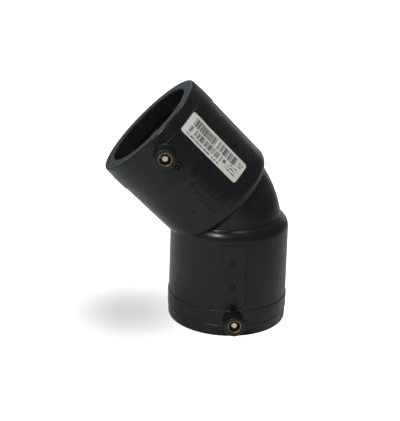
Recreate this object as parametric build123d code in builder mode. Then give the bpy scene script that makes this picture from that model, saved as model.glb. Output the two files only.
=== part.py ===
import os
from math import asin, cos, degrees, radians, sin, tan
from build123d import *

os.makedirs("parts", exist_ok=True)

# A 45 degree electrofusion elbow in polyethylene. Millimetres, +Z up.
# The lower mouth stands on the ground with its centre at the origin. The upper socket
# leans towards -X, and the terminals face the front, -Y.

# What both sockets share. The pipe sets the bore, and each wall is added to it.
bore_r = 31.8
bore_edge = 0.5
socket_wall = 8.7
body_r = bore_r + socket_wall
body_r_at_shoulder = body_r - 0.5
lip_r_at_mouth = body_r
lip_r = body_r + 0.3
lip_len = 8.0
lip_edge = 0.6
band_r = body_r + 0.5
band_end = 18.7
band_step = 0.4
shoulder_station = 66.0
shoulder_len = 8.2
shoulder_drop = 6.5
shoulder_steps = 3
neck_r = body_r_at_shoulder - 4.5
neck_wall = 9.5
water_r = neck_r - neck_wall
stop_chamfer = 1.5

# The bend. The neck's inner side clears the bend's centre by a margin.
bend_angle = 45.0
centre_to_face = 79.0
bend_margin = 7.5
outer_bend_r = neck_r + bend_margin

# Stations are measured from a socket's own mouth
socket_depth = 58.0
terminal_station = 12.5
indicator_station = 24.0

# Heating coils, laid in a shallow recess of the bore wall
wire_r = 0.32
wire_sides = 4
wire_cover = 0.05
coil_pitch = 4.0
coil_steps = 24
coil_turns = 7
recess_margin = 1.6
recess_depth = 1.0
link_bury = 2.4
wire_clearance = 0.05

# Terminals: a moulded shroud, with a brass cup and contact pin inside
shroud_r = 6.6
shroud_cavity_r = 4.6
shroud_proud = 12.2
shroud_edge = 0.45
cavity_floor_r = bore_r + recess_depth + 1.2
cup_clearance = 0.05
cup_wall = 0.65
cup_floor = 4.0
cup_below_rim = 0.9
pin_r = 2.0
pin_below_rim = 3.0
pin_tip_chamfer = 0.5
tail_r = 0.8

# Fusion indicators: a low collar round a rising pin
collar_r = 3.4
collar_proud = 0.9
collar_bore_r = 1.7
indicator_pin_r = 1.2
indicator_seat_r = body_r - 5.5
indicator_below_rim = 0.5
indicator_edge = 0.3

# Bare raised pads where the moulded markings stand
pad_height = 0.3
pad_bury = 1.0
pad_half_angle = 14.0
lower_pad_angle = -91.0
upper_pad_angle = 85.0
lower_pad_span = (21.5, 64.5)
upper_pad_span = (31.0, 64.5)

# Printed label on the upper socket
label_length = 50.0
label_width = 16.0
label_thickness = 0.15
label_corner_r = 1.8
label_station = 33.6
label_angle = 52.9
label_margin = 2.0

quarter_turn = 90.0
full_turn = 360.0


def unit_out(base, angle):
    """Direction away from a socket's axis, at an angle turned from its outer side."""
    turn = radians(angle)
    return base.x_dir * cos(turn) + base.y_dir * sin(turn)


def radial_plane(base, station, angle, radius):
    """Plane square to the wall of a socket: its Z points away from the axis."""
    out = unit_out(base, angle)
    origin = base.origin + base.z_dir * station + out * radius
    return Plane(origin=origin, x_dir=base.z_dir, z_dir=out)


def half_plane(base, angle=0.0):
    """Plane through a socket's axis: its X runs outwards and its Y along the axis."""
    out = unit_out(base, angle)
    return Plane(origin=base.origin, x_dir=out, z_dir=out.cross(base.z_dir))


def tower_plane(base, station, angle):
    """Plane through a tower on the wall: its Y is the tower's axis, from the socket's axis."""
    out = unit_out(base, angle)
    origin = base.origin + base.z_dir * station
    return Plane(origin=origin, x_dir=base.z_dir, z_dir=base.z_dir.cross(out))


def body_radius(station):
    """Outer radius of the tapered body at a distance from the mouth."""
    share = (station - band_end) / (shoulder_station - band_end)
    return body_r + (body_r_at_shoulder - body_r) * share


def shoulder_points():
    """Points on the shoulder's round, which leaves the wall along the socket's axis."""
    round_r = (shoulder_drop**2 + shoulder_len**2) / (2 * shoulder_drop)
    sweep_angle = asin(shoulder_len / round_r)
    points = []
    for i in range(shoulder_steps + 1):
        turn = sweep_angle * i / shoulder_steps
        drop = round_r * (1 - cos(turn))
        points.append((body_r_at_shoulder - drop, shoulder_station + round_r * sin(turn)))
    return points


def outer_profile():
    """Half section of a socket's outside, from the mouth to the end of the shoulder."""
    with BuildLine() as outline:
        Polyline(
            (0, 0),
            (lip_r_at_mouth - lip_edge, 0),
            (lip_r_at_mouth, lip_edge),
            (lip_r, lip_len),
            (band_r, lip_len + band_step),
            (band_r, band_end - band_step),
            (body_r, band_end),
            *shoulder_points(),
            (0, shoulder_station + shoulder_len),
            (0, 0),
        )
    return outline.line


def bore_profile():
    """Half section of a socket's bore, with the coil recess and the pipe stop."""
    recess_r = bore_r + recess_depth
    recess_start = terminal_station - recess_margin
    recess_end = coil_end + recess_margin
    with BuildLine() as outline:
        Polyline(
            (0, 0),
            (bore_r + bore_edge, 0),
            (bore_r, bore_edge),
            (bore_r, recess_start),
            (recess_r, recess_start),
            (recess_r, recess_end),
            (bore_r, recess_end),
            (bore_r, socket_depth - stop_chamfer),
            (bore_r - stop_chamfer, socket_depth),
            (0, socket_depth),
            (0, 0),
        )
    return outline.line


def bend_tangent(radius):
    """How far a bend of a given centre line radius reaches from the elbow's centre."""
    return radius * tan(radians(bend_angle / 2))


# Frames of the sockets: origin at the mouth, Z into the fitting, X to the outer side of the bend
lean = radians(bend_angle)
lower_base = Plane.XY
upper_mouth = (
    -centre_to_face * sin(lean),
    0,
    centre_to_face + centre_to_face * cos(lean),
)
upper_base = Plane(origin=upper_mouth, x_dir=(cos(lean), 0, sin(lean)), z_dir=(sin(lean), 0, -cos(lean)))

# Coils run from the terminal to the back of the bore, where the link wire leaves.
# A turn is a run of short straight lengths whose corners lie on wire_line_r.
wire_line_r = bore_r + recess_depth - wire_cover - wire_r
# The last half turn brings the wire round to the back of the elbow.
half_turn = 0.5
coil_end = terminal_station + (coil_turns + half_turn) * coil_pitch

shroud_top_r = body_r + shroud_proud
collar_top_r = body_r + collar_proud

# Name, frame, and the angle of the front, where the terminal and the indicator stand
sockets = (("lower", lower_base, -quarter_turn), ("upper", upper_base, quarter_turn))
pads = (
    (lower_base, lower_pad_span, lower_pad_angle),
    (upper_base, upper_pad_span, upper_pad_angle),
)


def coil_points(plane, length):
    """Corners of a coil of straight lengths, from the terminal to the end of the last turn."""
    count = round(length / coil_pitch * coil_steps)
    points = []
    for i in range(count + 1):
        turn = i / count * length / coil_pitch * full_turn
        points.append(plane.origin + unit_out(plane, turn) * wire_line_r + plane.z_dir * (i / count * length))
    return points


def link_path():
    """The buried wire that joins the two coils along the back of the elbow."""
    rise = bore_r + link_bury - wire_line_r
    back = Vector(0, 1, 0)
    # Each end starts just beyond the end face of its coil
    beside = wire_r + wire_clearance
    lower_start = Vector(-beside, wire_line_r, coil_end)
    upper_start = upper_base.origin + upper_base.z_dir * coil_end
    upper_start += upper_base.x_dir * beside + back * wire_line_r
    return Polyline(
        lower_start,
        lower_start + (back + lower_base.z_dir) * rise,
        Vector(0, wire_line_r + rise, centre_to_face),
        upper_start + (back + upper_base.z_dir) * rise,
        upper_start,
    )


# The moulded body: two sockets, the bend, shrouds, collars and pads in one piece
with BuildPart() as body:
    bend_start = centre_to_face - bend_tangent(outer_bend_r)
    for name, base, front in sockets:
        with BuildSketch(half_plane(base)):
            add(outer_profile())
            make_face()
        revolve(axis=Axis(base.origin, base.z_dir))
        with BuildSketch(base.offset(socket_depth)):
            Circle(neck_r)
        extrude(amount=bend_start - socket_depth)
    # The neck's circle, swung through the bend
    with BuildSketch(Plane.XY.offset(bend_start)):
        Circle(neck_r)
    revolve(axis=Axis((-outer_bend_r, 0, bend_start), (0, -1, 0)), revolution_arc=bend_angle)
    # Pads that follow the tapered wall
    for base, span, centre in pads:
        start_r = body_radius(span[0])
        end_r = body_radius(span[1])
        with BuildSketch(half_plane(base, centre - pad_half_angle)):
            with BuildLine():
                Polyline(
                    (start_r - pad_bury, span[0]),
                    (start_r + pad_height, span[0]),
                    (end_r + pad_height, span[1]),
                    (end_r - pad_bury, span[1]),
                    close=True,
                )
            make_face()
        revolve(axis=Axis(base.origin, base.z_dir), revolution_arc=2 * pad_half_angle)
    # Shrouds with a bevelled rim, and indicator collars
    for name, base, front in sockets:
        with BuildSketch(tower_plane(base, terminal_station, front)):
            with BuildLine():
                Polyline(
                    (0, cavity_floor_r),
                    (shroud_r, cavity_floor_r),
                    (shroud_r, shroud_top_r - shroud_edge),
                    (shroud_r - shroud_edge, shroud_top_r),
                    (0, shroud_top_r),
                    close=True,
                )
            make_face()
        revolve(axis=Axis(base.origin + base.z_dir * terminal_station, unit_out(base, front)))
        with BuildSketch(radial_plane(base, indicator_station, front, indicator_seat_r)):
            Circle(collar_r)
        extrude(amount=collar_top_r - indicator_seat_r)
    # Bores, and a waterway of two straight cores that meet in a ball
    for name, base, front in sockets:
        with BuildSketch(half_plane(base)):
            add(bore_profile())
            make_face()
        revolve(axis=Axis(base.origin, base.z_dir), mode=Mode.SUBTRACT)
        with BuildSketch(base.offset(socket_depth - stop_chamfer)):
            Circle(water_r)
        extrude(amount=centre_to_face - socket_depth + stop_chamfer, mode=Mode.SUBTRACT)
    with Locations((0, 0, centre_to_face)):
        Sphere(water_r, mode=Mode.SUBTRACT)
    # Terminal cavities, the holes for their tails, and the indicator bores
    for name, base, front in sockets:
        with BuildSketch(radial_plane(base, terminal_station, front, cavity_floor_r)):
            Circle(shroud_cavity_r)
        extrude(amount=shroud_top_r - cavity_floor_r, mode=Mode.SUBTRACT)
        with BuildSketch(radial_plane(base, terminal_station, front, bore_r)):
            Circle(tail_r + cup_clearance)
        extrude(amount=cavity_floor_r - bore_r, mode=Mode.SUBTRACT)
        with BuildSketch(radial_plane(base, indicator_station, front, indicator_seat_r)):
            Circle(collar_bore_r)
        extrude(amount=collar_top_r - indicator_seat_r, mode=Mode.SUBTRACT)
    # Tunnel of the link wire
    with BuildLine():
        tunnel = link_path()
    with BuildSketch(Plane(origin=tunnel @ 0, z_dir=tunnel % 0)):
        RegularPolygon(radius=wire_r + wire_clearance, side_count=wire_sides)
    sweep(path=tunnel, transition=Transition.RIGHT, mode=Mode.SUBTRACT)
body.part.label = "body"
export_step(body.part, "parts/body.step")
print("body", body.part.volume, len(body.part.solids()))

for name, base, front in sockets:
    # Heating coil: a helix of wire in the recess of the bore, begun at the terminal
    out = unit_out(base, front)
    coil_base = Plane(origin=base.origin + base.z_dir * terminal_station, x_dir=out, z_dir=base.z_dir)
    with BuildPart() as coil:
        with BuildLine():
            turns = Polyline(*coil_points(coil_base, coil_end - terminal_station))
        with BuildSketch(Plane(origin=turns @ 0, x_dir=out, z_dir=turns % 0)):
            RegularPolygon(radius=wire_r, side_count=wire_sides)
        sweep(path=turns, transition=Transition.RIGHT)
    coil.part.label = name + "_heating_coil"
    export_step(coil.part, "parts/" + coil.part.label + ".step")
    print(coil.part.label, coil.part.volume, coil.part.is_valid)

    # Terminal: a brass cup and contact pin, with a tail that reaches the coil
    cup_r = shroud_cavity_r - cup_clearance
    cup_top_r = shroud_top_r - cup_below_rim
    cup_floor_r = cavity_floor_r + cup_floor
    pin_top_r = shroud_top_r - pin_below_rim
    tail_end_r = wire_line_r + wire_r
    with BuildPart() as terminal:
        with BuildSketch(tower_plane(base, terminal_station, front)):
            with BuildLine():
                Polyline(
                    (0, tail_end_r),
                    (tail_r, tail_end_r),
                    (tail_r, cavity_floor_r),
                    (cup_r, cavity_floor_r),
                    (cup_r, cup_top_r),
                    (cup_r - cup_wall, cup_top_r),
                    (cup_r - cup_wall, cup_floor_r),
                    (pin_r, cup_floor_r),
                    (pin_r, pin_top_r - pin_tip_chamfer),
                    (pin_r - pin_tip_chamfer, pin_top_r),
                    (0, pin_top_r),
                    close=True,
                )
            make_face()
        revolve(axis=Axis(base.origin + base.z_dir * terminal_station, out))
    terminal.part.label = name + "_terminal"
    export_step(terminal.part, "parts/" + terminal.part.label + ".step")
    print(terminal.part.label, terminal.part.volume, terminal.part.is_valid)

    # Fusion indicator: a pin that rises in its collar once the joint has melted
    indicator_top_r = collar_top_r - indicator_below_rim
    with BuildPart() as indicator:
        with BuildSketch(radial_plane(base, indicator_station, front, indicator_seat_r)):
            Circle(indicator_pin_r)
        extrude(amount=indicator_top_r - indicator_seat_r)
        top = indicator.faces().sort_by(Axis(base.origin, out))[-1]
        chamfer(top.edges(), indicator_edge)
    indicator.part.label = name + "_fusion_indicator"
    export_step(indicator.part, "parts/" + indicator.part.label + ".step")
    print(indicator.part.label, indicator.part.volume, indicator.part.is_valid)

# Link wire between the two coils
with BuildPart() as link_wire:
    with BuildLine():
        route = link_path()
    with BuildSketch(Plane(origin=route @ 0, z_dir=route % 0)):
        RegularPolygon(radius=wire_r, side_count=wire_sides)
    sweep(path=route, transition=Transition.RIGHT)
link_wire.part.label = "link_wire"
export_step(link_wire.part, "parts/link_wire.step")
print("link_wire", link_wire.part.volume, link_wire.part.is_valid)

# Label: a thin film on the band and tapered wall of the upper socket, cut to a rounded rectangle
label_start = label_station - label_length / 2
label_end = label_station + label_length / 2
label_half_angle = degrees(label_width / body_r / 2) + label_margin
with BuildPart() as barcode_label:
    end_r = body_radius(label_end)
    with BuildSketch(half_plane(upper_base, label_angle - label_half_angle)):
        with BuildLine():
            Polyline(
                (band_r, label_start),
                (band_r + label_thickness, label_start),
                (band_r + label_thickness, band_end - band_step),
                (body_r + label_thickness, band_end),
                (end_r + label_thickness, label_end),
                (end_r, label_end),
                (body_r, band_end),
                (band_r, band_end - band_step),
                close=True,
            )
        make_face()
    revolve(
        axis=Axis(upper_base.origin, upper_base.z_dir),
        revolution_arc=2 * label_half_angle,
    )
    with BuildSketch(radial_plane(upper_base, label_station, label_angle, 0)):
        RectangleRounded(label_length, label_width, label_corner_r)
    extrude(amount=band_r + label_margin, mode=Mode.INTERSECT)
barcode_label.part.label = "barcode_label"
export_step(barcode_label.part, "parts/barcode_label.step")
print("label", barcode_label.part.volume, barcode_label.part.is_valid)
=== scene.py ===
# %% [markdown]
# # A 45 degree electrofusion elbow
# The real object is one thick moulding in black polyethylene. Two sockets meet in a bend, and each
# socket has a heating coil in its bore, a terminal tower and a small indicator that rises when the
# joint has melted. A printed label sits on the upper socket.
#
# The packed model gives the frame: every size below agrees with it, so each finer piece made here
# stands in the place of the plain solid that it replaces.

# %% Load the packed model
import math
import bpy
import numpy as np
from mathutils import Matrix, Vector


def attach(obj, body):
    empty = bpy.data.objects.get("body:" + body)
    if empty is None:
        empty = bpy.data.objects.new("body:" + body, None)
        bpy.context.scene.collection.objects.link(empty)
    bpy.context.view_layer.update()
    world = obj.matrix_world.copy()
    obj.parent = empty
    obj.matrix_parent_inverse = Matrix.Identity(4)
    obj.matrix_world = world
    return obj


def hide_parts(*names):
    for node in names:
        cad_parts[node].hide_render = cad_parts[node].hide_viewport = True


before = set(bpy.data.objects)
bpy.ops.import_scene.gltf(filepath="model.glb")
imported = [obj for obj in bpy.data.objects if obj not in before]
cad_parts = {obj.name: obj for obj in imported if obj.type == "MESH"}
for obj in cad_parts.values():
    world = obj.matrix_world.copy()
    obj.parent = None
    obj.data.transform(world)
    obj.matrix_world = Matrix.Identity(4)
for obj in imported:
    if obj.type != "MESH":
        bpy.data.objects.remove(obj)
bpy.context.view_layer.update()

MM = 0.001
print("frame nodes:", sorted(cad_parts))

# %% [markdown]
# ## Sizes
# All lengths are in millimetres, as they are on a drawing, and turn into metres only when a mesh is
# made. Each could be typed where it is used. Keeping them in one place means that the wall, the coil
# and the terminal can't drift apart. A station is a length along a socket's axis, from its mouth
# inwards.

# %% Driving sizes
# The bend
LEAN = math.radians(45.0)
HALF_TAN = math.tan(LEAN / 2)
CENTRE_TO_FACE = 79.0
NECK_BEND_R = 43.0
NECK_R = 35.5
NECK_START = CENTRE_TO_FACE - NECK_BEND_R * HALF_TAN

# The inside: bore, coil recess, pipe stop and waterway
BORE_R = 31.8
RECESS_R = BORE_R + 1.0
STOP_STATION = 58.0
STOP_CHAMFER = 1.5
WATER_R = 26.0
COIL_END = 42.5
COIL_TURN = 2700.0

# The outside: lip, band, tapered wall and round shoulder
LIP_MOUTH_R = 40.45
LIP_R = 40.75
LIP_LEN = 8.0
LIP_EDGE = 1.1
BAND_R = 40.95
BAND_END = 18.7
BODY_R = 40.45
SHOULDER_WALL_R = 39.95
SHOULDER = 66.0
SHOULDER_LEN = 8.2
SHOULDER_DROP = 6.5
SHOULDER_ROUND = (SHOULDER_DROP**2 + SHOULDER_LEN**2) / (2 * SHOULDER_DROP)

# What stands on the wall
FRONT = -90.0
TERMINAL = 12.5
INDICATOR = 24.0
TOWER_R = 6.6
TOWER_TOP = 52.7
CAVITY_R = 4.6
CAVITY_FLOOR = RECESS_R + 1.2
INDICATOR_FLOOR = BODY_R - 5.5
PAD_HALF = 14.0
PAD_HEIGHT = 0.3
print("the neck's bend starts", round(NECK_START, 1), "mm from each mouth")

# %% [markdown]
# ## Two sockets
# The fitting repeats one socket at both ends. The second could be a turned copy of the first, but
# its pad, its crease and the hand of its coil differ. So a small class holds what differs, and the
# same functions make both. A point is given as a drawing gives it: by its station, its angle round
# the axis and its radius.

# %% Lower and upper socket
class Socket:
    """One socket: where its mouth is, which way it runs, and what stands on it.

    Angles turn from the outer side of the bend. The front, where the terminals are, is -90.
    pad holds the first and last station of the marking pad, pad_angle is its middle, and pad_fade
    is the length over which it rises. spin is the hand of the coil, and crease is the depth of the
    fine groove behind the lip."""

    def __init__(self, name, origin, axis, outer, pad, pad_angle, pad_fade, spin, crease):
        self.name = name
        self.origin = np.array(origin, float)
        self.axis = np.array(axis, float)
        self.outer = np.array(outer, float)
        self.side = np.array([0.0, 1.0, 0.0])
        self.pad = pad
        self.pad_edges = (pad_angle - PAD_HALF, pad_angle + PAD_HALF)
        self.pad_fade = pad_fade
        self.spin = spin
        self.crease = crease

    def out(self, degrees):
        """Unit vector away from the axis: outer * cos(angle) + side * sin(angle)."""
        turn = np.radians(np.asarray(degrees, float))[..., None]
        return self.outer * np.cos(turn) + self.side * np.sin(turn)

    def point(self, station, degrees, radius):
        """origin + axis * station + out(angle) * radius, for numbers or whole arrays."""
        station = np.asarray(station, float)[..., None]
        radius = np.asarray(radius, float)[..., None]
        return self.origin + self.axis * station + self.out(degrees) * radius


lean_sin, lean_cos = math.sin(LEAN), math.cos(LEAN)
LOWER = Socket(
    "lower", origin=(0, 0, 0), axis=(0, 0, 1), outer=(1, 0, 0),
    pad=(21.5, 64.5), pad_angle=-91.0, pad_fade=0.5, spin=1, crease=0.22)
UPPER = Socket(
    "upper", origin=(-CENTRE_TO_FACE * lean_sin, 0, CENTRE_TO_FACE * (1 + lean_cos)),
    axis=(lean_sin, 0, -lean_cos), outer=(lean_cos, 0, lean_sin),
    pad=(31.0, 64.5), pad_angle=-85.0, pad_fade=5.0, spin=-1, crease=0.05)
SOCKETS = (LOWER, UPPER)
print("upper mouth at", np.round(UPPER.origin, 1), "mm")

# %% [markdown]
# ## Closed meshes from numbers
# A piece could start as one of Blender's primitives, whose vertices are then moved. A grid of points
# from a formula was chosen, because it is exact and says the shape in a line, and because a whole
# array is worked out at once: Python never walks from vertex to vertex. Each mesh is closed, and the
# sign of its volume tells whether its faces look outwards.

# %% Faces, volume and mesh
SMOOTH_ANGLE = 35.0


def grid_faces(rows, columns, first=0, wrap_rows=False):
    """Quads between neighbouring rows. The columns always wrap, and the rows can wrap too."""
    row = np.arange(rows if wrap_rows else rows - 1)[:, None]
    column = np.arange(columns)[None, :]
    below = (row + 1) % rows
    right = (column + 1) % columns
    corners = [row * columns + column, row * columns + right,
               below * columns + right, below * columns + column]
    return first + np.stack(corners, -1).reshape(-1, 4)


def end_fans(rows, columns, first, poles):
    """Triangles from one pole to each side of the first row, and from the other to the last row."""
    column = np.arange(columns)
    after = (column + 1) % columns
    last = first + (rows - 1) * columns
    start = np.stack([np.full(columns, poles[0]), first + after, first + column], -1)
    end = np.stack([np.full(columns, poles[1]), last + column, last + after], -1)
    return np.concatenate([start, end])


def solid_volume(points, quads, triangles):
    """Sum of a . (b x c) / 6 over all triangles, which is positive when faces look outwards."""
    parts = [quads[:, [0, 1, 2]], quads[:, [0, 2, 3]], triangles]
    all_triangles = np.concatenate([part for part in parts if len(part)])
    a, b, c = (points[all_triangles[:, i]] for i in range(3))
    return float(np.einsum("ij,ij->", a, np.cross(b, c)) / 6)


def finish_mesh(mesh, smooth):
    """Smooth shading, with real edges kept where two faces meet at more than the given angle."""
    mesh.update()
    mesh.shade_smooth()
    mesh.set_sharp_from_angle(angle=math.radians(smooth))
    mesh.validate()


def make_object(name, points, quads, triangles=None, materials=(), indices=None, smooth=SMOOTH_ANGLE):
    """A closed mesh in metres from points in millimetres, its faces turned outwards."""
    points = np.asarray(points, float).reshape(-1, 3)
    quads = np.asarray(quads, int).reshape(-1, 4)
    triangles = np.zeros((0, 3), int) if triangles is None else np.asarray(triangles, int).reshape(-1, 3)
    if solid_volume(points, quads, triangles) < 0:
        quads, triangles = quads[:, ::-1], triangles[:, ::-1]
    mesh = bpy.data.meshes.new(name)
    mesh.from_pydata((points * MM).tolist(), [], quads.tolist() + triangles.tolist())
    for material in materials:
        mesh.materials.append(material)
    if indices is not None:
        mesh.polygons.foreach_set("material_index", np.asarray(indices, np.int32))
    finish_mesh(mesh, smooth)
    made = bpy.data.objects.new(name, mesh)
    bpy.context.scene.collection.objects.link(made)
    return made


print("a grid of 3 rows by 4 columns has", len(grid_faces(3, 4)), "quads")

# %% [markdown]
# ## Turned shapes
# Towers, pips, cups and pins are all turned shapes. A Screw modifier could spin their profiles. A
# lathe in numpy was chosen, because it gives closed shells that a Boolean can use, and because it
# tells for each point which row of the profile it came from, which the brass reads later.

# %% A lathe, and shells joined
def turned(centre, axis, profile, sides):
    """A lathe: profile is (radius, height) rows along the axis, and a radius of 0 closes a pole.

    Point: centre + axis * height + (u cos a + v sin a) * radius, with u and v square to the axis."""
    centre, axis = np.asarray(centre, float), np.asarray(axis, float)
    profile = np.asarray(profile, float)
    helper = np.array([0.0, 0.0, 1.0]) if abs(axis[2]) < 0.9 else np.array([1.0, 0.0, 0.0])
    u = np.cross(helper, axis)
    u /= np.linalg.norm(u)
    v = np.cross(axis, u)
    turn = np.linspace(0, 2 * math.pi, sides, endpoint=False)
    ring = u * np.cos(turn)[:, None] + v * np.sin(turn)[:, None]
    rows = profile[1:-1]
    body = centre + rows[:, 1, None, None] * axis + rows[:, 0, None, None] * ring
    poles = centre + profile[[0, -1], 1, None] * axis
    points = np.concatenate([poles, body.reshape(-1, 3)])
    quads = grid_faces(len(rows), sides, first=2)
    triangles = end_fans(len(rows), sides, first=2, poles=(0, 1))
    along = np.concatenate([[0, len(rows) - 1], np.repeat(np.arange(len(rows)), sides)])
    return points, quads, triangles, along


def joined(pieces):
    """Several closed shells in one set of arrays, for one mesh or one Boolean tool."""
    points, quads, triangles, start = [], [], [], 0
    for piece in pieces:
        points.append(piece[0])
        quads.append(piece[1] + start)
        triangles.append(piece[2] + start)
        start += len(piece[0])
    return np.concatenate(points), np.concatenate(quads), np.concatenate(triangles)


def arc(centre_r, centre_h, radius, start, end, steps):
    """Points of a rounded corner: (centre_r + radius cos a, centre_h + radius sin a)."""
    turn = np.radians(np.linspace(start, end, steps))
    return np.stack([centre_r + radius * np.cos(turn), centre_h + radius * np.sin(turn)], -1).tolist()


trial = turned((0, 0, 0), (0, 0, 1), [(0, 0), (1, 0), (1, 2), (0, 2)], 80)
print("a turned pin of radius 1 and height 2 holds", round(abs(solid_volume(*trial[:3])), 2), "mm3")

# %% [markdown]
# ## Writing node materials
# A material could be drawn by hand in the shader editor. In a script each node takes several lines,
# so a small class makes them short: it adds a node, sets its inputs and links its sockets.

# %% A short way to write nodes
class Nodes:
    """One node material. Each method adds a node and gives back its output."""

    def __init__(self, name):
        self.material = bpy.data.materials.new(name)
        self.material.use_nodes = True
        self.tree = self.material.node_tree
        self.shader = self.tree.nodes["Principled BSDF"]
        self.used = 0

    def add(self, kind, settings=None, **inputs):
        """Add a node. An input is given by its name, or by its number as i0, i1 and so on."""
        node = self.tree.nodes.new(kind)
        node.location = (-260 * (1 + self.used // 3), -300 * (self.used % 3))
        self.used += 1
        for key, value in (settings or {}).items():
            setattr(node, key, value)
        for key, value in inputs.items():
            which = int(key[1:]) if key[1:].isdigit() else key.replace("_", " ")
            self.put(node.inputs[which], value)
        return node

    def put(self, socket, value):
        """Link a socket to another one, or set it to a number or a colour."""
        if isinstance(value, bpy.types.NodeSocket):
            self.tree.links.new(value, socket)
        else:
            socket.default_value = value

    def finish(self, **inputs):
        """Set or link the shader's own inputs, and give back the material."""
        for key, value in inputs.items():
            self.put(self.shader.inputs[key.replace("_", " ")], value)
        return self.material

    def math(self, operation, first, second=0.0):
        """One operation on two numbers."""
        return self.add("ShaderNodeMath", {"operation": operation}, i0=first, i1=second).outputs[0]

    def mix(self, share, dark, light):
        """A colour between two: dark * (1 - share) + light * share."""
        return self.add("ShaderNodeMix", {"data_type": "RGBA"}, i0=share, i6=dark, i7=light).outputs[2]

    def noise(self, place, scale, detail=3.0, rough=0.5):
        """Soft noise from 0 to 1, mostly near 0.5."""
        node = self.add("ShaderNodeTexNoise", None, Vector=place, Scale=scale, Detail=detail, Roughness=rough)
        return node.outputs[0]

    def spread(self, value, low, high):
        """A noise value stretched from the middle of its range to low..high."""
        node = self.add("ShaderNodeMapRange", None, Value=value, From_Min=0.3, From_Max=0.7,
                        To_Min=low, To_Max=high)
        return node.outputs[0]

    def bump(self, height, distance, strength=1.0, under=None):
        """A normal tilted by the slope of height, on top of the normal under it."""
        node = self.add("ShaderNodeBump", None, Height=height, Distance=distance, Strength=strength)
        if under is not None:
            self.put(node.inputs["Normal"], under)
        return node.outputs[0]


print("short forms:", [name for name in vars(Nodes) if not name.startswith("_")])

# %% [markdown]
# ## Polyethylene
# Black pipe polyethylene is a satin plastic: carbon black makes it very dark, and a moulded skin
# gives wide soft highlights. A single flat colour would do from far away. Here fine noise in object
# coordinates moves the tone, the roughness and the bump a little, so that no face is one flat value.
# The face of each mouth is cut after moulding, so it gets a slightly paler and rougher version.

# %% Moulded, cut and indicator plastic
def polyethylene(name, dark, light, low_rough, high_rough):
    """Satin plastic: tone and gloss follow noise, and a fine grain lies on a slow ripple."""
    n = Nodes(name)
    place = n.add("ShaderNodeTexCoord").outputs["Object"]
    cloud = n.noise(place, scale=55.0, detail=4.0, rough=0.6)
    gloss = n.noise(place, scale=160.0, detail=5.0, rough=0.65)
    grain = n.bump(n.noise(place, scale=2600.0, detail=2.0), distance=0.00005, strength=0.35)
    ripple = n.bump(n.noise(place, scale=90.0, detail=2.0), distance=0.0004, strength=0.25, under=grain)
    return n.finish(
        Base_Color=n.mix(n.spread(cloud, 0.0, 1.0), dark, light),
        Roughness=n.spread(gloss, low_rough, high_rough),
        Normal=ripple,
        IOR=1.45,
        Specular_IOR_Level=0.34)


moulded = polyethylene(
    "moulded_polyethylene", (0.006, 0.007, 0.008, 1), (0.011, 0.012, 0.013, 1), 0.24, 0.34)
cut = polyethylene(
    "turned_polyethylene", (0.014, 0.015, 0.016, 1), (0.020, 0.021, 0.022, 1), 0.42, 0.52)
pin_plastic = polyethylene(
    "indicator_polymer", (0.012, 0.012, 0.012, 1), (0.03, 0.03, 0.03, 1), 0.35, 0.5)
BODY_MATERIALS = (moulded, cut)
print("plastics:", [material.name for material in (moulded, cut, pin_plastic)])

# %% [markdown]
# ## Brass and copper
# The contacts are turned brass and the coils are copper wire. Plain yellow and orange would look
# like paint: a metal's colour is in its reflection, so Metallic is 1, and tarnish in soft clouds
# mixes a dark and a light tone. Each point stores its row in the profile or along the wire. That
# number drives fine rings, and it makes the brass paler from the cup's lip inwards to the end of
# the pin: partly where plugs rub it, and partly a painted highlight for the gleam on the pin's end.

# %% Worn metal
# Pale brass for the pin's end and the inside of the cup: rubbed metal, and partly a painted highlight.
RUBBED_AND_GLEAM_BRASS = (0.82, 0.76, 0.60, 1)
CUP_LIP_ROW, PIN_END_ROW = 12.0, 25.0


def metal(name, dark, light, low_rough, high_rough, rings, bright=None):
    """Worn metal. Rings: sine of row * rings. bright gives the rows between which it turns to pale brass."""
    n = Nodes(name)
    place = n.add("ShaderNodeTexCoord").outputs["Object"]
    cloud = n.noise(place, scale=600.0, detail=4.0, rough=0.6)
    row = n.add("ShaderNodeAttribute", {"attribute_name": "turning"}).outputs["Fac"]
    colour = n.mix(n.spread(cloud, 0.0, 1.0), dark, light)
    if bright:
        # Paler towards the pin's end: rubbed brass, and also a painted highlight standing in for the gleam
        # there.
        rubbed_and_gleam = n.add("ShaderNodeMapRange", None, Value=row, From_Min=bright[0], From_Max=bright[1])
        colour = n.mix(rubbed_and_gleam.outputs[0], colour, RUBBED_AND_GLEAM_BRASS)
    wave = n.math("SINE", n.math("MULTIPLY", row, rings))
    return n.finish(
        Base_Color=colour,
        Roughness=n.spread(n.noise(place, scale=1800.0), low_rough, high_rough),
        Metallic=1.0,
        Normal=n.bump(wave, distance=0.00003, strength=0.4))


brass = metal(
    "contact_brass", (0.24, 0.20, 0.09, 1), (0.52, 0.47, 0.27, 1), 0.30, 0.45,
    rings=30.0, bright=(CUP_LIP_ROW, PIN_END_ROW))
copper = metal("coil_copper", (0.45, 0.17, 0.08, 1), (0.75, 0.36, 0.2, 1), 0.3, 0.45, rings=12.0)
print("metals:", [material.name for material in (brass, copper)])

# %% [markdown]
# ## Outside profile
# The outside of a socket is a turned profile: lip, band, tapered wall and a round shoulder. The bend
# is a torus. A Boolean union would leave a hard seam between the two, where a mould has a soft
# valley. So the radius used here is a smooth maximum of both, and it takes the neck's radius from a
# search: at each station and angle, the gap between in and out is halved forty times.

# %% Radius of the wall
COLUMN_COUNT = 288
PAD_EDGE = 0.25
NECK_SEARCH_R = 70.0
HALVINGS = 40
HIDDEN_FALL = 3.0
BLEND = 0.7
BLEND_EXCESS = 0.01

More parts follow.
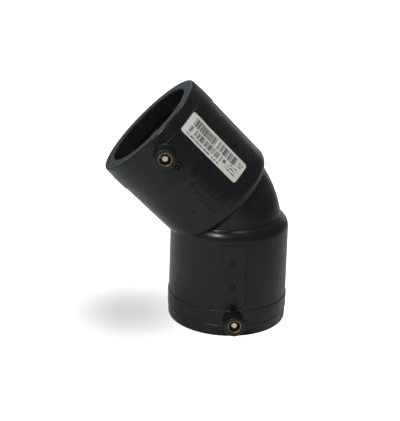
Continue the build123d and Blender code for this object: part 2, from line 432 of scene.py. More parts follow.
columns = np.linspace(-180, 180, COLUMN_COUNT, endpoint=False)
pad_edges = np.concatenate([np.array(socket.pad_edges)[:, None] + (-PAD_EDGE, PAD_EDGE)
                            for socket in SOCKETS]).ravel()
columns = columns[np.min(np.abs(columns[:, None] - pad_edges[None, :]), 1) > 0.3]
columns = np.sort(np.concatenate([columns, pad_edges]))
COS, SIN = np.cos(np.radians(columns)), np.sin(np.radians(columns))


def socket_radius(station, crease):
    """Straight runs between (station, radius) pairs, less the drop of the round shoulder.

    Drop: R - sqrt(R^2 - past^2), with past the length beyond the shoulder's start. Beyond its end
    the radius falls steeply, so that only the neck counts there."""
    runs = np.array([
        (0, LIP_MOUTH_R), (LIP_LEN - 0.35, LIP_R), (LIP_LEN - 0.1, LIP_R - crease),
        (LIP_LEN + 0.1, LIP_R - crease), (LIP_LEN + 0.4, BAND_R), (BAND_END - 0.45, BAND_R),
        (BAND_END - 0.3, BAND_R - 0.08), (BAND_END - 0.05, BODY_R + 0.02), (BAND_END + 0.2, BODY_R),
        (SHOULDER, SHOULDER_WALL_R), (200, SHOULDER_WALL_R)])
    past = np.clip(station - SHOULDER, 0, SHOULDER_LEN)
    drop = SHOULDER_ROUND - np.sqrt(SHOULDER_ROUND**2 - past**2)
    hidden = HIDDEN_FALL * np.clip(station - SHOULDER - SHOULDER_LEN, 0, 10)
    return np.interp(station, runs[:, 0], runs[:, 1]) - drop - hidden


def neck_radius(station):
    """Radius of the bent neck at each station and column: a torus of tube radius NECK_R."""
    low, high = np.zeros(station.shape), np.full(station.shape, NECK_SEARCH_R)
    rise = np.maximum(station - NECK_START, 0)
    for _ in range(HALVINGS):
        middle = (low + high) / 2
        reach = middle * COS + NECK_BEND_R
        ring = np.hypot(reach, rise) - NECK_BEND_R
        inside = (np.hypot(ring, middle * SIN) < NECK_R) & (reach > 0)
        low, high = np.where(inside, middle, low), np.where(inside, high, middle)
    return (low + high) / 2


def wall_radius(station, crease):
    """Smooth maximum: (a + b + sqrt((a - b)^2 + BLEND^2)) / 2, less its small excess far away."""
    a, b = socket_radius(station, crease), neck_radius(station)
    return (a + b + np.sqrt((a - b) ** 2 + BLEND**2)) / 2 - BLEND_EXCESS


print("columns round the wall:", len(columns))

# %% [markdown]
# ## Rows of the wall
# Where the mouth is rounded or the band ends, the profile turns within a fraction of a millimetre,
# so rows stand close together there and far apart on plain stretches. Even rows would need many more
# faces for the same edges. Both sockets end on the slanted plane between them, and there the
# stations differ from column to column.

# %% Stations and radii, outside and inside
STRAIGHT_END = 56.0
MITRE_ROUNDS = 30
RECESS_MARGIN = 1.6


def pad_raise(station, socket):
    """The marking pad stands PAD_HEIGHT proud between two angles, with a soft start and end.

    Soft step: t * t * (3 - 2 * t), with t from 0 to 1 along the fade."""
    start, end = socket.pad
    rise = np.clip((station - start + PAD_EDGE) / socket.pad_fade, 0, 1)
    along = rise * np.clip((end + PAD_EDGE - station) / (2 * PAD_EDGE), 0, 1)
    across = (columns > socket.pad_edges[0]) & (columns < socket.pad_edges[1])
    return PAD_HEIGHT * along * along * (3 - 2 * along) * across


def between(start, end, count):
    """Even rows from start to end, which may differ from column to column. The start is left out."""
    share = np.linspace(0, 1, count + 1)[1:, None]
    return start + (end - start) * share


def same_round(values):
    """One number a row, repeated for every column."""
    return np.repeat(np.asarray(values, float)[:, None], len(columns), 1)


def outer_rows(socket):
    """Stations and radii of the outside, from the rounded edge of the mouth to the slanted plane.

    The plane lies at the station CENTRE_TO_FACE + radius * cos(angle) * tan(half the lean), found
    by repeating that sum, as the radius depends on the station."""
    edge = np.array(arc(LIP_MOUTH_R - LIP_EDGE, LIP_EDGE, LIP_EDGE, -90, 0, 7))
    lip = [1.6, 3, 5, 6.8, 7.5, 7.65, 7.8, 7.9, 8.0, 8.1, 8.25, 8.4, 8.6, 10, 12, 14, 16, 17.5]
    step = [BAND_END + d for d in (-0.6, -0.45, -0.3, -0.15, -0.05, 0.1, 0.3, 1.0)]
    pad = [socket.pad[0] + d for d in (-0.5, -0.25, 0, 0.25, 0.5)]
    plain = np.arange(20.5, STRAIGHT_END, 2.0)
    straight = np.unique(np.round(np.concatenate([lip, step, pad, plain, [STRAIGHT_END]]), 3))
    mitre = np.full(len(columns), CENTRE_TO_FACE)
    for _ in range(MITRE_ROUNDS):
        mitre = CENTRE_TO_FACE + wall_radius(mitre[None], socket.crease)[0] * COS * HALF_TAN
    turn_in = np.minimum(SHOULDER, STRAIGHT_END + (mitre - STRAIGHT_END) * 0.90)
    turn_out = np.minimum(SHOULDER + SHOULDER_LEN, STRAIGHT_END + (mitre - STRAIGHT_END) * 0.95)
    stations = np.concatenate([
        same_round(straight),
        between(STRAIGHT_END, turn_in, 10),
        between(turn_in, turn_out, 18),
        between(turn_out, mitre, 22),
    ])
    radii = wall_radius(stations, socket.crease) + pad_raise(stations, socket)
    return (np.concatenate([same_round(edge[:, 1]), stations]),
            np.concatenate([same_round(edge[:, 0]), radii]))


def inner_rows():
    """Stations and radii of the inside: mouth face, bore, coil recess, pipe stop and waterway.

    Past the station CENTRE_TO_FACE the waterway follows a ball: sqrt(WATER_R^2 - past^2)."""
    start = TERMINAL - RECESS_MARGIN
    end = COIL_END + RECESS_MARGIN
    mouth = [(38.6, 0), (37.3, 0), (35.5, 0), (33.5, 0), (32.5, 0.0), (32.35, 0.02), (32.1, 0.14),
             (31.92, 0.32), (31.82, 0.5)]
    bore = [(BORE_R, 0.8), (BORE_R, 3.0), (BORE_R, 5.5), (BORE_R, start - 0.3), (BORE_R, start - 0.04)]
    recess = [(BORE_R + 0.06, start), (RECESS_R - 0.06, start + 0.02), (RECESS_R, start + 0.08)]
    recess += [(RECESS_R, s) for s in np.linspace(start + 2, end - 2, 6)]
    recess += [(RECESS_R, end - 0.08), (RECESS_R - 0.06, end - 0.02), (BORE_R + 0.06, end),
               (BORE_R, end + 0.04)]
    stop = [(BORE_R, STOP_STATION - 2.5), (BORE_R, STOP_STATION - STOP_CHAMFER),
            (BORE_R - STOP_CHAMFER, STOP_STATION), (BORE_R - STOP_CHAMFER - 0.3, STOP_STATION + 0.02),
            (WATER_R + 0.5, STOP_STATION + 0.02), (WATER_R + 0.1, STOP_STATION + 0.12),
            (WATER_R, STOP_STATION + 0.5)]
    profile = np.array(mouth + bore + recess + stop)
    slope = np.maximum(COS, 0) * HALF_TAN
    ball = WATER_R / np.sqrt(1 + slope**2)
    mitre = CENTRE_TO_FACE + np.where(COS > 0, ball, WATER_R) * COS * HALF_TAN
    deep = between(STOP_STATION + 0.5, mitre, 18)
    water = np.sqrt(WATER_R**2 - np.clip(deep - CENTRE_TO_FACE, 0, None) ** 2)
    return (np.concatenate([same_round(profile[:, 1]), deep]),
            np.concatenate([same_round(profile[:, 0]), water]))


print("rows outside:", len(outer_rows(LOWER)[0]), "and inside:", len(inner_rows()[0]))

# %% [markdown]
# ## The wall as one grid
# The real moulding has no seam between outside and inside, and a solid for Booleans may have none
# either. Two shells could be bridged at the mouths. Here both sockets share one ring of points on
# the slanted plane, so the grid closes on itself: out along one socket, round its mouth, through the
# bore and back.

# %% Wall
FACE_ROWS = 9

loops, cut_rows = [], []
for socket, outwards in ((LOWER, True), (UPPER, False)):
    out_s, out_r = outer_rows(socket)
    in_s, in_r = inner_rows()
    outside = socket.point(out_s, columns[None], out_r)
    inside = socket.point(in_s, columns[None], in_r)
    # Rows run from the inside of the mitre, out of the mouth, and back along the outside
    rows = np.concatenate([inside[::-1], outside])
    # Only the mouth's face and its inner edge are cut, which are the first rows of the inside
    is_face = np.zeros(len(rows), bool)
    is_face[len(inside) - FACE_ROWS:len(inside)] = True
    if not outwards:
        # The shared rings on the slanted plane are kept once
        rows, is_face = rows[::-1][1:-1], is_face[::-1][1:-1]
    loops.append(rows)
    cut_rows.append(is_face)
wall = np.concatenate(loops)
is_cut = np.concatenate(cut_rows)
row_is_cut = is_cut & np.roll(is_cut, -1)
wall_faces = grid_faces(len(wall), len(columns), wrap_rows=True)
wall_index = np.repeat(row_is_cut.astype(int), len(columns))
body = make_object("elbow_body", wall, wall_faces, None, BODY_MATERIALS, wall_index)
print("wall:", len(wall), "rows by", len(columns), "columns,", len(wall_faces), "quads")

# %% [markdown]
# ## Shapes of towers, collars and pips
# A terminal sits in a round moulded tower, so that nothing live can be touched. A low collar holds
# the indicator, and small pips mark the pads. They could be pulled out of the wall's own faces. A
# lathe shape was chosen, because its rim is truly round and its root can flare into the wall, as
# moulded corners do.

# %% Lathe shapes on the front
TOWER_FOOT = 36.5
FLARE_WIDTH, FLARE_HEIGHT, FLARE_TOP = 0.9, 1.9, 42.2
RIM_ROUND = 0.55
COLLAR_HEIGHT, COLLAR_ROUND = 0.9, 0.3


def on_front(socket, station, profile, sides):
    """A turned shape whose axis runs from the socket's axis out of the front of its wall."""
    return turned(socket.point(station, FRONT, 0), socket.out(FRONT), profile, sides)


def tower(socket):
    """Lathe profile of a terminal tower: buried foot, flared root, straight wall, round rim.

    Flare: a quarter of an ellipse, (root - FLARE_WIDTH sin a, FLARE_TOP - FLARE_HEIGHT cos a)."""
    root = TOWER_R + FLARE_WIDTH
    turn = np.radians(np.linspace(0, 90, 6))
    flare = np.stack([root - FLARE_WIDTH * np.sin(turn), FLARE_TOP - FLARE_HEIGHT * np.cos(turn)], -1)
    rim = arc(TOWER_R - RIM_ROUND, TOWER_TOP - RIM_ROUND, RIM_ROUND, 0, 90, 6)
    profile = [(0, TOWER_FOOT), (root, TOWER_FOOT), *flare.tolist(), (TOWER_R, 46.0), *rim,
               (4.0, TOWER_TOP), (0, TOWER_TOP)]
    return on_front(socket, TERMINAL, profile, 80)[:3]


def collar(socket):
    """Lathe profile of the low ring round the indicator: buried foot, sloping wall, round rim."""
    top = BODY_R + COLLAR_HEIGHT
    rim = arc(3.1, top - COLLAR_ROUND, COLLAR_ROUND, 0, 90, 4)
    profile = [(0, 37.0), (3.7, 37.0), (3.65, 40.3), (3.45, 40.75), *rim, (2.0, top), (0, top)]
    return on_front(socket, INDICATOR, profile, 56)[:3]


def pip(socket, station, degrees, base, size=1.0):
    """A moulded pip: a dished ring with a small nub in its middle, scaled by size."""
    shape = [(0, 0.75), (0.35, 0.7), (0.65, 0.45), (0.85, 0.05), (1.15, 0.02), (1.4, 0.38),
             (1.65, 0.45), (1.9, 0.32), (2.05, 0.0), (2.05, -0.9), (0, -0.9)]
    profile = [(r * size, base + h * size) for r, h in shape]
    return turned(socket.point(station, degrees, 0), socket.out(degrees), profile[::-1], 28)[:3]


def plug(socket, station, radius, low, high, sides):
    """A plain cylinder that is cut away."""
    return on_front(socket, station, [(0, low), (radius, low), (radius, high), (0, high)], sides)[:3]


print("points in a tower:", len(tower(LOWER)[0]), "and in a pip:", len(pip(LOWER, 0, FRONT, 0)[0]))

# %% [markdown]
# ## Joining and cutting
# In the mould all of this is one piece of plastic. Shapes that only poke through each other would
# look right from outside, but they would be several shells and not one solid. So a Boolean union
# joins them to the wall, and a difference then cuts the cavity for the brass cup and the hole of the
# indicator. The result is taken from the evaluated mesh, so that no modifier stays behind.

# %% Union, then difference
INDICATOR_HOLE_R = 1.7
CUTTER_ABOVE = 3.0


def apply_boolean(target, tool_shells, operation, name):
    """Join the shells into one tool, apply the Boolean through the evaluated mesh, drop the tool."""
    points, quads, triangles = joined(tool_shells)
    tool_index = np.zeros(len(quads) + len(triangles))
    tool = make_object(name, points, quads, triangles, BODY_MATERIALS, tool_index)
    step = target.modifiers.new(name, "BOOLEAN")
    step.operation = operation
    step.solver = "MANIFOLD"
    step.object = tool
    bpy.context.view_layer.update()
    result = bpy.data.meshes.new_from_object(target.evaluated_get(bpy.context.evaluated_depsgraph_get()))
    target.modifiers.clear()
    target.data = result
    finish_mesh(result, SMOOTH_ANGLE)
    bpy.data.objects.remove(tool)
    print(operation, name, "->", len(result.polygons), "faces")


additions, cuts = [], []
for socket in SOCKETS:
    additions += [tower(socket), collar(socket)]
    cuts.append(plug(socket, TERMINAL, CAVITY_R, CAVITY_FLOOR, TOWER_TOP + CUTTER_ABOVE, 72))
    cuts.append(plug(socket, INDICATOR, INDICATOR_HOLE_R, INDICATOR_FLOOR, BODY_R + CUTTER_ABOVE, 40))
additions += [pip(LOWER, station, -91.5, 40.3 + PAD_HEIGHT) for station in (35.8, 51.6)]
additions += [pip(UPPER, 39.4, -90.5, 40.25 + PAD_HEIGHT, 0.8)]
additions += [pip(UPPER, station, -110.7, 40.2, 0.45) for station in (30.2, 41.5, 54.1)]
apply_boolean(body, additions, "UNION", "towers")
apply_boolean(body, cuts, "DIFFERENCE", "cavities")
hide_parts("body")
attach(body, "root")

# %% [markdown]
# ## Terminals
# A terminal is turned from brass: a cup with a pin standing in it. The bright things in the picture
# are the end of the pin and the lip of the cup. Cup and pin could be two pieces. One profile does
# both, as one bar does on the real lathe, and the row of each point is stored for the brass to read.

# %% Brass cups with their pins
CUP_R, CUP_WALL, LIP_ROUND, FLOOR_ROUND = CAVITY_R - 0.05, 0.65, 0.2, 0.4
PIN_R, PIN_ROUND, TAIL_R = 2.0, 0.45, 0.8


def store_row(made, along):
    """Keep one number a point, here its row, under the name that the metal reads."""
    attribute = made.data.attributes.new("turning", "FLOAT", "POINT")
    attribute.data.foreach_set("value", np.asarray(along, np.float32))


def terminal_profile():
    """From the tail up the outside of the cup, over its lip, down inside, and up the pin."""
    foot, lip, floor, tip = RECESS_R - 0.05, TOWER_TOP - 0.9, CAVITY_FLOOR + 4.0, TOWER_TOP - 3.0
    inner = CUP_R - CUP_WALL
    outside = [(0, foot), (TAIL_R, foot), (TAIL_R, CAVITY_FLOOR), (CUP_R, CAVITY_FLOOR),
               (CUP_R, 42.0), (CUP_R, lip - 0.3)]
    over = [*arc(CUP_R - LIP_ROUND, lip - LIP_ROUND, LIP_ROUND, 0, 90, 4),
            *arc(inner + LIP_ROUND, lip - LIP_ROUND, LIP_ROUND, 90, 180, 4)]
    down = [(inner, lip - 1.2), (inner, floor + 1.0),
            *arc(inner - FLOOR_ROUND, floor + FLOOR_ROUND, FLOOR_ROUND, 0, -90, 5)]
    pin = [(PIN_R + 0.3, floor), (PIN_R + 0.05, floor + 0.15), (PIN_R, floor + 0.6),
           (PIN_R, tip - 2.0), (PIN_R, tip - 0.55),
           *arc(PIN_R - PIN_ROUND, tip - PIN_ROUND, PIN_ROUND, 0, 90, 5),
           (0.9, tip), (0.5, tip - 0.03), (0, tip - 0.05)]
    return outside + over + down + pin


for socket in SOCKETS:
    points, quads, triangles, along = on_front(socket, TERMINAL, terminal_profile(), 80)
    made = make_object(socket.name + "_brass_terminal", points, quads, triangles, [brass])
    store_row(made, along)
    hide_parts(socket.name + "_terminal")
    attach(made, "root")
    print(made.name, len(points), "points")

# %% [markdown]
# ## Fusion indicators
# A small polymer pin waits in its collar, and melt pressure pushes it up. It could be left as the
# plain solid, but its end catches the light, so it is a short turned pin with a softly rounded end.

# %% Indicator pins
INDICATOR_R, INDICATOR_ROUND, INDICATOR_PROUD = 1.2, 0.35, 0.4

for socket in SOCKETS:
    top = BODY_R + INDICATOR_PROUD
    end = arc(INDICATOR_R - INDICATOR_ROUND, top - INDICATOR_ROUND, INDICATOR_ROUND, 0, 90, 5)
    profile = [(0, INDICATOR_FLOOR), (INDICATOR_R, INDICATOR_FLOOR), (INDICATOR_R, top - 0.5), *end,
               (0.4, top), (0, top)]
    points, quads, triangles = on_front(socket, INDICATOR, profile, 40)[:3]
    made = make_object(socket.name + "_indicator_pin", points, quads, triangles, [pin_plastic])
    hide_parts(socket.name + "_fusion_indicator")
    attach(made, "root")
    print(made.name, len(points), "points")

# %% [markdown]
# ## Heating coils
# The coil is a resistance wire wound close to the bore. A bevelled curve could draw it. A tube made
# in numpy was chosen, because its turns then lie exactly in the recess. It needs only the centre
# line and two directions square to it: the way out from the axis, and the cross product of that and
# the wire's own direction. The ends are closed with one point each.

# %% Coil wires
WIRE_R = 0.4
COIL_LINE_R = RECESS_R - 0.45
WIRE_SIDES, STEPS_A_TURN = 10, 72
COIL_SMOOTH = 60.0


def helix_tube(socket):
    """Centre: station and angle grow evenly along the wire. Ring: out * cos a + across * sin a."""
    count = int(COIL_TURN / 360 * STEPS_A_TURN)
    share = np.linspace(0, 1, count)
    angle = FRONT + socket.spin * COIL_TURN * share
    station = TERMINAL + (COIL_END - TERMINAL) * share
    centre = socket.point(station, angle, np.full(count, COIL_LINE_R))
    tangent = np.gradient(centre, axis=0)
    tangent /= np.linalg.norm(tangent, axis=1)[:, None]
    out = socket.out(angle)
    across = np.cross(tangent, out)
    turn = np.linspace(0, 2 * math.pi, WIRE_SIDES, endpoint=False)
    ring = out[:, None] * np.cos(turn)[:, None] + across[:, None] * np.sin(turn)[:, None]
    points = np.concatenate([(centre[:, None] + WIRE_R * ring).reshape(-1, 3), centre[[0, -1]]])
    first_pole = count * WIRE_SIDES
    triangles = end_fans(count, WIRE_SIDES, first=0, poles=(first_pole, first_pole + 1))
    rows = np.concatenate([np.repeat(np.arange(count), WIRE_SIDES), [0, count - 1]])
    return points, grid_faces(count, WIRE_SIDES), triangles, rows


for socket in SOCKETS:
    points, quads, triangles, along = helix_tube(socket)
    made = make_object(socket.name + "_coil_wire", points, quads, triangles, [copper], smooth=COIL_SMOOTH)
    store_row(made, along)
    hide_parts(socket.name + "_heating_coil")
    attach(made, "root")
    print(made.name, len(points), "points")

# %% [markdown]
# ## Link wire
# One more wire joins the two coils inside the wall. It could be made again as a tube, but it lies in
# the plastic and shows from no side, so the plain solid stays and only gets the copper.

# %% Copper for the link wire
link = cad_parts["link_wire"]
link.data.materials.clear()
link.data.materials.append(copper)
print(link.name, "is", link.data.materials[0].name)

# %% [markdown]
# ## Raised markings
# Moulded markings stand a little proud of the flat pads. They are generic: plain dashes of changing
# length. Bump in the material could hint at them, but the mesh would then be smooth, so each dash is
# a small closed block that follows the curve of the wall. A fixed seed gives the same dashes on every
# run.

# %% Dashes on the pads
MARK_HEIGHT, MARK_SLOPE, MARK_FOOT = 0.34, 0.45, 0.6
DASH_SHORT, DASH_LONG, DASH_GAP, SKIPPED = 0.5, 1.5, 0.5, 0.18


def block(socket, station, degrees, length, width, base):
    """A low block on the wall, with sloping sides: three stacked rectangles bent round the axis."""
    rise = MARK_HEIGHT * MARK_SLOPE
    levels = ((base - MARK_FOOT, 0.0), (base + rise, 0.0), (base + MARK_HEIGHT, rise))
    sign_s, sign_a = np.array([-1, 1, 1, -1]), np.array([-1, -1, 1, 1])
    rows = []
    for radius, less in levels:
        along = station + sign_s * (length / 2 - less)
        turn = degrees + np.degrees(sign_a * (width / 2 - less) / radius)
        rows.append(socket.point(along, turn, np.full(4, radius)))
    quads = np.concatenate([grid_faces(3, 4), [[3, 2, 1, 0], [8, 9, 10, 11]]])
    return np.concatenate(rows), quads, np.zeros((0, 3), int)


def dash_row(socket, start, end, degrees, width, seed):
    """Dashes of random length in a row, as words are, with gaps between them."""
    random = np.random.default_rng(seed)
    shells, at = [], start
    while at < end:
        length = random.uniform(DASH_SHORT, DASH_LONG)
        if random.random() > SKIPPED:
            wall_r = float(np.interp(at, [BAND_END, SHOULDER], [BODY_R, SHOULDER_WALL_R]))
            shells.append(block(socket, at + length / 2, degrees, length, width, wall_r + PAD_HEIGHT))
        at += length + DASH_GAP
    return shells


shells = []
for i, degrees in enumerate((-96.0, -93.0, -86.4, -83.2, -80.0, -76.8, -73.6)):
    shells += dash_row(UPPER, 44.0 if degrees < -93 else 33.0, 63.0, degrees, 1.2, seed=10 + i)
shells += dash_row(LOWER, 23.0, 62.0, -80.0, 1.5, seed=40)
shells += dash_row(LOWER, 23.0, 62.0, -78.2, 0.7, seed=41)
shells += dash_row(LOWER, 54.0, 62.0, -102.0, 1.8, seed=42)
points, quads, triangles = joined(shells)
marks = make_object("pad_marks", points, quads, triangles, [moulded], smooth=30)
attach(marks, "root")
print("raised dashes:", len(shells))

# %% [markdown]
# ## Shape of the label
# The label is a thin film with round corners that follows the wall. A plane could be wrapped on with
# a Shrinkwrap modifier. Here its outline is a rounded rectangle, shrunk ring by ring towards the
# middle, and each ring is bent round the axis, so the film lies on the wall at an even height.

# %% Film on the wall
LABEL_LEN, LABEL_WIDTH, LABEL_ROUND = 50.0, 16.0, 1.8
LABEL_STATION, LABEL_ANGLE = 33.6, -52.9
FILM_TOP, FILM_FOOT, FILM_GAP = 0.15, -0.02, 0.02


def rounded_rectangle(count):
    """Outline points: four quarter circles of LABEL_ROUND about the inner corners, and edges."""
    shell = []
    for corner, start in (((1, 1), 0), ((-1, 1), 90), ((-1, -1), 180), ((1, -1), 270)):
        turn = np.radians(np.linspace(start, start + 90, count))
        centre = np.array(corner) * (LABEL_LEN / 2 - LABEL_ROUND, LABEL_WIDTH / 2 - LABEL_ROUND)
        shell.append(centre + LABEL_ROUND * np.stack([np.cos(turn), np.sin(turn)], -1))
    corners = np.concatenate(shell)
    ends = np.roll(corners, -1, 0)
    share = np.linspace(0, 1, 9)[:-1, None]
    filled = []
    for i, (a, b) in enumerate(zip(corners, ends)):
        filled.append(a + (b - a) * share if (i + 1) % count == 0 else a[None])
    return np.concatenate(filled)


def label_film(flat, lift):
    """Flat points bent round the wall: angle = across / BODY_R, radius = wall + gap + lift."""
    station = LABEL_STATION + flat[:, 0]
    angle = LABEL_ANGLE + np.degrees(flat[:, 1] / BODY_R)
    wall_r = np.interp(station, [0, BAND_END - 0.3, BAND_END + 2.0, SHOULDER],
                       [BAND_R, BAND_R, BODY_R + 0.02, SHOULDER_WALL_R])
    return UPPER.point(station, angle, wall_r + FILM_GAP + lift)


outline = rounded_rectangle(7)
rings = [(scale, FILM_TOP) for scale in (0.15, 0.3, 0.45, 0.6, 0.75, 0.88, 0.97)]
rings += [(0.995, 0.14), (1.0, 0.11), (1.0, 0.0)]
rings += [(scale, FILM_FOOT) for scale in (0.97, 0.75, 0.45, 0.15)]
label_flat = np.concatenate([outline * scale for scale, _ in rings] + [np.zeros((2, 2))])
label_lift = np.concatenate([np.full(len(outline), h) for _, h in rings] + [[FILM_TOP, FILM_FOOT]])
print("label rings:", len(rings), "of", len(outline), "points")

# %% [markdown]
# ## Print on the label
# The print is generic: two rows of bars, a dot and a few short marks. An image could hold them, but
# then the label would need a file beside the script. Here they come from the label's own UV map: a
# random value a stripe decides whether it is ink.

# %% Label material
INK, INK_SHARE = (0.06, 0.06, 0.06, 1), 0.85
PAPER_DARK, PAPER_LIGHT = (0.62, 0.62, 0.57, 1), (0.73, 0.73, 0.68, 1)
DOT_U, DOT_V, DOT_R = 0.71, 0.36, 1.3
SHORT_MARKS = (
    # low v, high v, low u, high u
    (0.08, 0.14, 0.08, 0.66), (0.30, 0.36, 0.78, 0.93), (0.18, 0.24, 0.76, 0.95),
    (0.42, 0.48, 0.80, 0.94), (0.62, 0.69, 0.89, 0.96), (0.74, 0.81, 0.89, 0.96))


def label_material():
    """Pale film with two rows of random bars, a dot and a few short marks, all from the UV map."""
    n = Nodes("label_film")
    place_uv = n.add("ShaderNodeUVMap", {"uv_map": "label"}).outputs[0]
    split = n.add("ShaderNodeSeparateXYZ", None, Vector=place_uv)
    u, v = split.outputs[0], split.outputs[1]

    def inside(value, low, high):
        """1 between low and high, and 0 elsewhere."""
        return n.math("MULTIPLY", n.math("GREATER_THAN", value, low), n.math("LESS_THAN", value, high))

    def bars(low_u, high_u, low_v, high_v, stripes, share, seed):
        """Ink where a stripe's random number, from floor(u * stripes) + seed, is below share."""
        cell = n.math("ADD", n.math("FLOOR", n.math("MULTIPLY", u, stripes)), seed)
        chance = n.add("ShaderNodeTexWhiteNoise", {"noise_dimensions": "1D"}, W=cell).outputs["Value"]
        ink = n.math("LESS_THAN", chance, share)
        return n.math("MULTIPLY", ink, n.math("MULTIPLY", inside(u, low_u, high_u), inside(v, low_v, high_v)))

    ink = bars(0.08, 0.85, 0.52, 0.88, stripes=148.0, share=0.6, seed=3.0)
    ink = n.math("MAXIMUM", ink, bars(0.08, 0.66, 0.21, 0.47, stripes=160.0, share=0.58, seed=51.0))
    for row, (low_v, high_v, low_u, high_u) in enumerate(SHORT_MARKS):
        mark = bars(low_u, high_u, low_v, high_v, stripes=120.0, share=0.7, seed=90.0 + 17 * row)
        ink = n.math("MAXIMUM", ink, mark)
    du = n.math("MULTIPLY", n.math("SUBTRACT", u, DOT_U), LABEL_LEN)
    dv = n.math("MULTIPLY", n.math("SUBTRACT", v, DOT_V), LABEL_WIDTH)
    far = n.math("SQRT", n.math("ADD", n.math("MULTIPLY", du, du), n.math("MULTIPLY", dv, dv)))
    ink = n.math("MAXIMUM", ink, n.math("LESS_THAN", far, DOT_R))
    place = n.add("ShaderNodeTexCoord").outputs["Object"]
    paper = n.mix(n.spread(n.noise(place, scale=220.0), 0.0, 1.0), PAPER_DARK, PAPER_LIGHT)
    return n.finish(
        Base_Color=n.mix(n.math("MULTIPLY", ink, INK_SHARE), paper, INK),
        Roughness=n.spread(n.noise(place, scale=500.0), 0.4, 0.5),
        Normal=n.bump(n.noise(place, scale=1500.0), distance=0.00003, strength=0.3))


film = label_material()
print("label material:", len(film.node_tree.nodes), "nodes")

# %% [markdown]
# ## Label in place
# The film's UV map is the flat label itself: 0 to 1 along and across. Unwrapping the bent mesh would
# only find again what the flat points already say.

# %% Label
first_pole = len(rings) * len(outline)
label = make_object(
    "label_sheet", label_film(label_flat, label_lift), grid_faces(len(rings), len(outline)),
    end_fans(len(rings), len(outline), first=0, poles=(first_pole, first_pole + 1)), [film])
uv = label_flat / (LABEL_LEN, LABEL_WIDTH) + 0.5
loop_vertices = np.zeros(len(label.data.loops), np.int32)
label.data.loops.foreach_get("vertex_index", loop_vertices)
uv_map = label.data.uv_layers.new(name="label")
uv_map.data.foreach_set("uv", uv[loop_vertices].astype(np.float32).ravel())
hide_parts("barcode_label")
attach(label, "root")
print("label:", len(label_flat), "points")

# %% [markdown]
# ## Floor
# Product pictures of this kind are taken on white. A bright lamp on a pale sheet would give that, and
# would also wash out the black plastic. So the floor is a plain pale sheet that glows only where the
# camera looks at it. The glow is half as strong again as white. Round a point under the leaning
# socket it fades to a quarter, so that the soft shadow there stays to be seen, and the fade by itself
# darkens a round patch of floor there as a painted shadow.

# %% White floor
FLOOR_HALF, FLOOR_DROP = 6.0, 0.0002
FLOOR_COLOUR = (0.9, 0.9, 0.9, 1)
GLOW = 1.5
# The fade darkens a round patch of floor under the leaning socket: partly the real shadow let through, partly
# a painted shadow.
FADE_CENTRE, FADE_REACH, FADE_LEAST = (-0.07, 0.0, 0.0), 0.11, 0.25


def plain_floor():
    """Matt sheet mixed with a glow: the share grows from FADE_LEAST to 1 over FADE_REACH metres."""
    n = Nodes("white_floor")
    n.finish(Base_Color=FLOOR_COLOUR, Roughness=0.9)
    glow = n.add("ShaderNodeEmission", None, Color=(1, 1, 1, 1), Strength=GLOW)
    camera_ray = n.add("ShaderNodeLightPath").outputs["Is Camera Ray"]
    place = n.add("ShaderNodeTexCoord").outputs["Object"]
    offset = n.add("ShaderNodeVectorMath", {"operation": "SUBTRACT"}, i0=place, i1=FADE_CENTRE)
    far = n.add("ShaderNodeVectorMath", {"operation": "LENGTH"}, i0=offset.outputs[0]).outputs["Value"]
    # Less glow round the centre: this lets the lamps' shadow through and also paints a round shadow of its
    # own.
    fade = n.add("ShaderNodeMapRange", {"interpolation_type": "SMOOTHSTEP"}, Value=far,
                 From_Min=0.0, From_Max=FADE_REACH, To_Min=FADE_LEAST, To_Max=1.0)
    share = n.math("MULTIPLY", camera_ray, fade.outputs[0])
    mixed = n.add("ShaderNodeMixShader", None, i0=share, i1=n.shader.outputs[0], i2=glow.outputs[0])
    n.put(n.tree.nodes["Material Output"].inputs["Surface"], mixed.outputs[0])
    return n.material


corner_signs = ((-1, -1), (1, -1), (1, 1), (-1, 1))
floor_mesh = bpy.data.meshes.new("floor")
floor_mesh.from_pydata([(x * FLOOR_HALF, y * FLOOR_HALF, -FLOOR_DROP) for x, y in corner_signs],
                       [], [(0, 1, 2, 3)])
floor_mesh.materials.append(plain_floor())
floor = bpy.data.objects.new("floor", floor_mesh)
bpy.context.scene.collection.objects.link(floor)
print("floor:", 2 * FLOOR_HALF, "m wide")

# %% [markdown]
# ## World
# The world is white where the camera sees it. As a light it is dim, because a white world would turn
# black plastic grey. Reflections see it brighter than the light that it gives, so that the gloss has
# something pale to show.

# %% Studio world
WORLD_COLOUR = (0.92, 0.96, 1.0, 1)
WORLD_LIGHT, WORLD_MIRRORED = 0.04, 0.2

world = bpy.data.worlds.new("studio")
bpy.context.scene.world = world
world.use_nodes = True
tree = world.node_tree
dim = tree.nodes["Background"]
dim.inputs["Color"].default_value = WORLD_COLOUR
white = tree.nodes.new("ShaderNodeBackground")
white.inputs["Color"].default_value = (1, 1, 1, 1)
white.inputs["Strength"].default_value = 1.0
path = tree.nodes.new("ShaderNodeLightPath")
mirrored = tree.nodes.new("ShaderNodeMapRange")
mirrored.inputs["To Min"].default_value = WORLD_LIGHT
mirrored.inputs["To Max"].default_value = WORLD_MIRRORED
tree.links.new(path.outputs["Is Glossy Ray"], mirrored.inputs["Value"])
tree.links.new(mirrored.outputs[0], dim.inputs["Strength"])
choose = tree.nodes.new("ShaderNodeMixShader")
tree.links.new(path.outputs["Is Camera Ray"], choose.inputs[0])
tree.links.new(dim.outputs[0], choose.inputs[1])
tree.links.new(white.outputs[0], choose.inputs[2])
tree.links.new(choose.outputs[0], tree.nodes["World Output"].inputs["Surface"])
print("world:", len(tree.nodes), "nodes")

# %% [markdown]
# ## Lamps
# Black satin plastic shows its form through its highlights, so the lamps' places matter more than
# their power. One large lamp would light it evenly and flatly. Here an overhead box and a small key
# give most of the light, and three weak, bluish boxes at the left and behind lift the outlines.

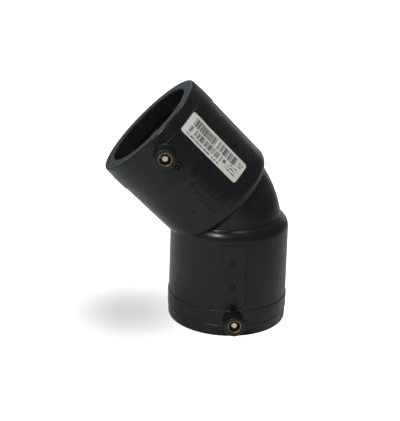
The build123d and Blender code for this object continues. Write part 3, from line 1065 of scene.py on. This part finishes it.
# %% Five soft boxes
def lamp(name, place, aim, width, height, power, colour=(1, 1, 1)):
    """A rectangular lamp that faces its aim, as a soft box in a studio does."""
    light = bpy.data.lights.new(name, "AREA")
    light.shape = "RECTANGLE"
    light.size, light.size_y = width, height
    light.energy = power
    light.color = colour
    made = bpy.data.objects.new(name, light)
    bpy.context.scene.collection.objects.link(made)
    made.location = place
    made.rotation_euler = (Vector(aim) - Vector(place)).to_track_quat("-Z", "Y").to_euler()
    print(name, power, "W")


lamp("overhead", (0.05, 0.0, 1.0), (-0.04, 0, 0.08), 0.35, 0.35, 3.4)
lamp("key", (-0.40, -0.60, 0.70), (-0.02, 0, 0.1), 0.09, 0.09, 5.2)
lamp("left_box", (-0.85, -0.1, 0.35), (-0.05, 0, 0.1), 0.25, 0.5, 0.15, (0.25, 0.6, 1.0))
lamp("behind_left", (-0.42, 0.95, 0.32), (-0.05, 0, 0.1), 0.5, 0.4, 0.28, (0.75, 0.88, 1.0))
lamp("behind_right", (0.52, 0.85, 0.16), (0, 0, 0.08), 0.3, 0.3, 0.2, (0.85, 0.93, 1.0))

# %% [markdown]
# ## Camera
# The camera stands where the picture seems to have been taken from, so that the two can be laid over
# each other. A Track To constraint could aim it at one point, but it keeps the camera level. The
# picture has a little roll, so three directions are worked out from yaw, pitch and roll, in radians,
# and go into the camera's matrix.

# %% Camera at the picture's angle
YAW, PITCH, ROLL = 0.08559, 0.34223, 0.02886
CAMERA_AT = (-0.077608, -0.667861, 0.313475)
LENS, SENSOR, NEAR_CLIP = 89.934, 36.0, 0.01

forward = np.array([math.sin(YAW) * math.cos(PITCH), math.cos(YAW) * math.cos(PITCH), -math.sin(PITCH)])
level = np.array([math.cos(YAW), -math.sin(YAW), 0.0])
upright = np.cross(level, forward)
right = math.cos(ROLL) * level + math.sin(ROLL) * upright
up = math.cos(ROLL) * upright - math.sin(ROLL) * level
camera_data = bpy.data.cameras.new("photo_camera")
camera_data.lens = LENS
camera_data.sensor_width = SENSOR
camera_data.clip_start = NEAR_CLIP
camera = bpy.data.objects.new("photo_camera", camera_data)
bpy.context.scene.collection.objects.link(camera)
pose = np.eye(4)
pose[:3, 0], pose[:3, 1], pose[:3, 2], pose[:3, 3] = right, up, -forward, CAMERA_AT
camera.matrix_world = Matrix(pose.tolist())
bpy.context.scene.camera = camera
bpy.context.scene.view_settings.view_transform = "Standard"
print("camera at", np.round(pose[:3, 3], 3))
